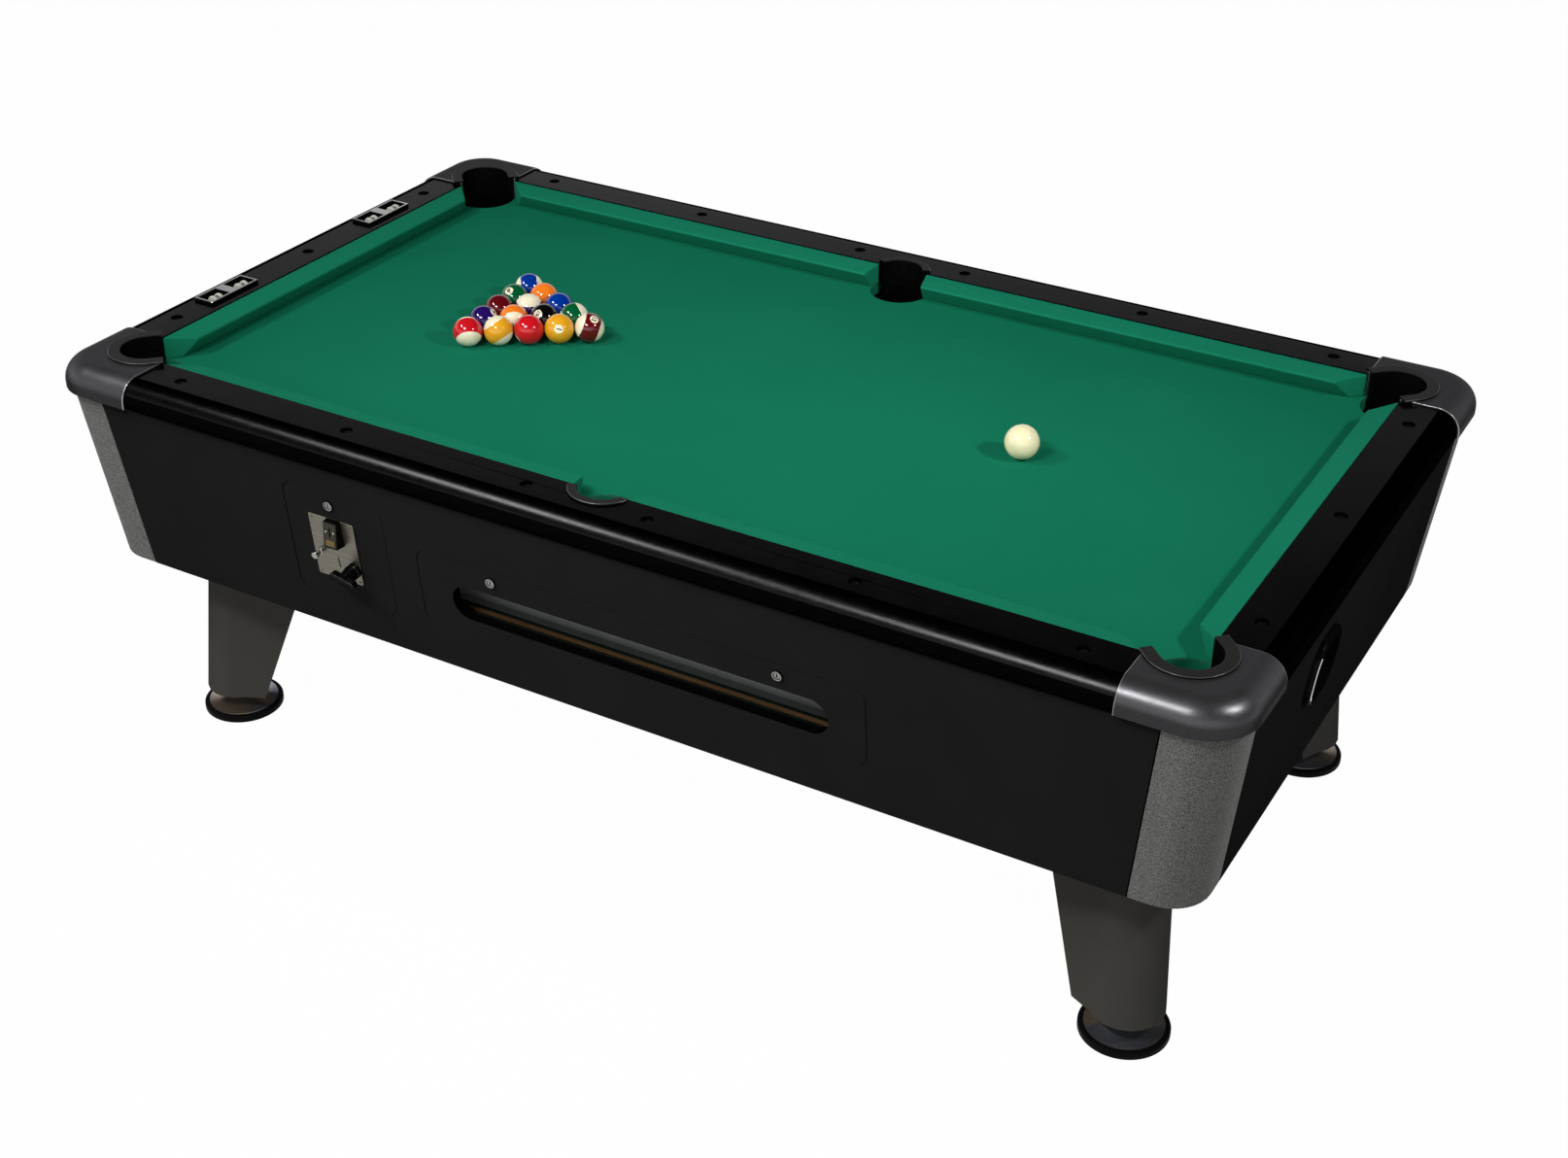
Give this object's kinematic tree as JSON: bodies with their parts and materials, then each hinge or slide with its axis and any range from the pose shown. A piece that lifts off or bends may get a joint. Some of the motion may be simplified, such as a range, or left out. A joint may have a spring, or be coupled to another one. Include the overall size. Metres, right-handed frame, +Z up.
{
  "type": "coin-operated pool table",
  "caption": "Slate-bed pool table in a tapered black cabinet on flared corner legs, with coin door, ball return slot, cue ball cup, rail score wheels and levelling feet.",
  "frame": {"origin": "on the floor under the middle of the table", "axes": "+X along the table's length towards the end with the cue ball cup, -Y towards the side with the coin door, +Z up"},
  "size_m": [2.24, 1.2882, 0.7828],
  "materials": {
    "black_laminate": "matte black laminated board",
    "black_rail": "black laminate, satin flat top and glossy rounded edge",
    "gunmetal_casting": "dark gunmetal, satin",
    "hammered_grey_trim": "mid grey hammered finish",
    "leg_grey": "dark warm grey, satin",
    "polished_foot": "polished metal with a black rubber rim",
    "green_cloth": "short green wool cloth",
    "cushion_cloth": "rubber profile under green cloth",
    "slate_stone": "honed",
    "black_liner": "grained black moulding",
    "plywood": "bare board",
    "brushed_steel": "brushed",
    "chrome": "bright plated",
    "black_moulding": "glossy black moulding",
    "white_plastic": "off-white"
  },
  "bodies": {
    "table": {"near_panel": "black_laminate", "far_panel": "black_laminate", "left_panel": "black_laminate", "right_panel": "black_laminate", "near_rail": "black_rail", "far_rail": "black_rail", "left_rail": "black_rail", "right_rail": "black_rail", "front_left_casting": "gunmetal_casting", "front_right_casting": "gunmetal_casting", "back_right_casting": "gunmetal_casting", "back_left_casting": "gunmetal_casting", "front_left_corner_trim": "hammered_grey_trim", "front_right_corner_trim": "hammered_grey_trim", "back_right_corner_trim": "hammered_grey_trim", "back_left_corner_trim": "hammered_grey_trim", "front_left_leg": "leg_grey", "front_right_leg": "leg_grey", "back_right_leg": "leg_grey", "back_left_leg": "leg_grey", "bed_cloth": "green_cloth", "near_left_cushion": "cushion_cloth", "near_right_cushion": "cushion_cloth", "far_left_cushion": "cushion_cloth", "far_right_cushion": "cushion_cloth", "left_cushion": "cushion_cloth", "right_cushion": "cushion_cloth", "slate_bed": "slate_stone", "front_left_pocket_liner": "black_liner", "front_right_pocket_liner": "black_liner", "back_right_pocket_liner": "black_liner", "back_left_pocket_liner": "black_liner", "near_side_pocket_liner": "black_liner", "far_side_pocket_liner": "black_liner", "cabinet_floor": "plywood", "ball_tray": "plywood", "ball_runway": "plywood", "cash_box": "brushed_steel", "near_score_counter": "brushed_steel", "far_score_counter": "brushed_steel", "cue_ball_return": "black_moulding"},
    "coin_door": {"coin_door": "black_laminate", "coin_plate": "brushed_steel", "coin_entry": "black_moulding", "coin_mechanism": "brushed_steel"},
    "coin_door_lock": {"coin_door_lock": "chrome"},
    "coin_return_button": {"coin_return_button": "chrome"},
    "turn_handle": {"turn_handle": "black_moulding"},
    "ball_door": {"ball_door": "black_laminate"},
    "ball_door_lock_left": {"ball_door_lock_left": "chrome"},
    "ball_door_lock_right": {"ball_door_lock_right": "chrome"},
    "ball_gate": {"ball_gate": "brushed_steel"},
    "near_counter_near_wheel": {"near_counter_near_wheel": "white_plastic"},
    "near_counter_far_wheel": {"near_counter_far_wheel": "white_plastic"},
    "far_counter_near_wheel": {"far_counter_near_wheel": "white_plastic"},
    "far_counter_far_wheel": {"far_counter_far_wheel": "white_plastic"},
    "front_left_foot": {"front_left_foot": "polished_foot"},
    "front_right_foot": {"front_right_foot": "polished_foot"},
    "back_right_foot": {"back_right_foot": "polished_foot"},
    "back_left_foot": {"back_left_foot": "polished_foot"}
  },
  "joints": [
    {"name": "coin_door_hinge", "type": "hinge", "parent": "table", "child": "coin_door", "pos_m": [-0.492, -0.59669, 0.45015], "axis": [1, 0, 0], "range_deg": [0, 90]},
    {"name": "ball_door_hinge", "type": "hinge", "parent": "table", "child": "ball_door", "pos_m": [0.105, -0.59848, 0.46756], "axis": [1, 0, 0], "range_deg": [0, 90]},
    {"name": "coin_door_lock_turn", "type": "hinge", "parent": "coin_door", "child": "coin_door_lock", "pos_m": [-0.498, -0.61722, 0.65], "axis": [0, -0.9948, -0.1022], "range_deg": [0, 90]},
    {"name": "ball_door_lock_left_turn", "type": "hinge", "parent": "ball_door", "child": "ball_door_lock_left", "pos_m": [-0.1675, -0.61164, 0.59568], "axis": [0, -0.9948, -0.1022], "range_deg": [0, 90]},
    {"name": "ball_door_lock_right_turn", "type": "hinge", "parent": "ball_door", "child": "ball_door_lock_right", "pos_m": [0.3775, -0.61164, 0.59568], "axis": [0, -0.9948, -0.1022], "range_deg": [0, 90]},
    {"name": "coin_return_push", "type": "slide", "parent": "coin_door", "child": "coin_return_button", "axis": [0, 0.9948, 0.1022], "range_m": [0, 0.008], "stiffness_N_per_m": 150, "springref_m": -0.01},
    {"name": "turn_handle_turn", "type": "hinge", "parent": "coin_door", "child": "turn_handle", "pos_m": [-0.462, -0.60486, 0.52963], "axis": [0, 0.9948, 0.1022], "range_deg": [0, 90]},
    {"name": "ball_gate_swing", "type": "hinge", "parent": "table", "child": "ball_gate", "pos_m": [0.105, -0.52807, 0.594], "axis": [1, 0, 0], "range_deg": [0, 45], "stiffness_Nm_per_rad": 0.9, "springref_deg": -31.51},
    {"name": "near_counter_near_wheel_spin", "type": "hinge", "parent": "table", "child": "near_counter_near_wheel", "pos_m": [-1.048, -0.266, 0.771], "axis": [0, 1, 0], "continuous": true},
    {"name": "near_counter_far_wheel_spin", "type": "hinge", "parent": "table", "child": "near_counter_far_wheel", "pos_m": [-1.048, -0.196, 0.771], "axis": [0, 1, 0], "continuous": true},
    {"name": "far_counter_near_wheel_spin", "type": "hinge", "parent": "table", "child": "far_counter_near_wheel", "pos_m": [-1.048, 0.196, 0.771], "axis": [0, 1, 0], "continuous": true},
    {"name": "far_counter_far_wheel_spin", "type": "hinge", "parent": "table", "child": "far_counter_far_wheel", "pos_m": [-1.048, 0.266, 0.771], "axis": [0, 1, 0], "continuous": true},
    {"name": "front_left_leveller", "type": "slide", "parent": "table", "child": "front_left_foot", "axis": [0, 0, -1], "range_m": [0, 0.025]},
    {"name": "front_right_leveller", "type": "slide", "parent": "table", "child": "front_right_foot", "axis": [0, 0, -1], "range_m": [0, 0.025]},
    {"name": "back_right_leveller", "type": "slide", "parent": "table", "child": "back_right_foot", "axis": [0, 0, -1], "range_m": [0, 0.025]},
    {"name": "back_left_leveller", "type": "slide", "parent": "table", "child": "back_left_foot", "axis": [0, 0, -1], "range_m": [0, 0.025]}
  ],
  "couplings": [
    {"joint": "turn_handle_turn", "follows": "ball_gate_swing", "ratio": 2}
  ]
}
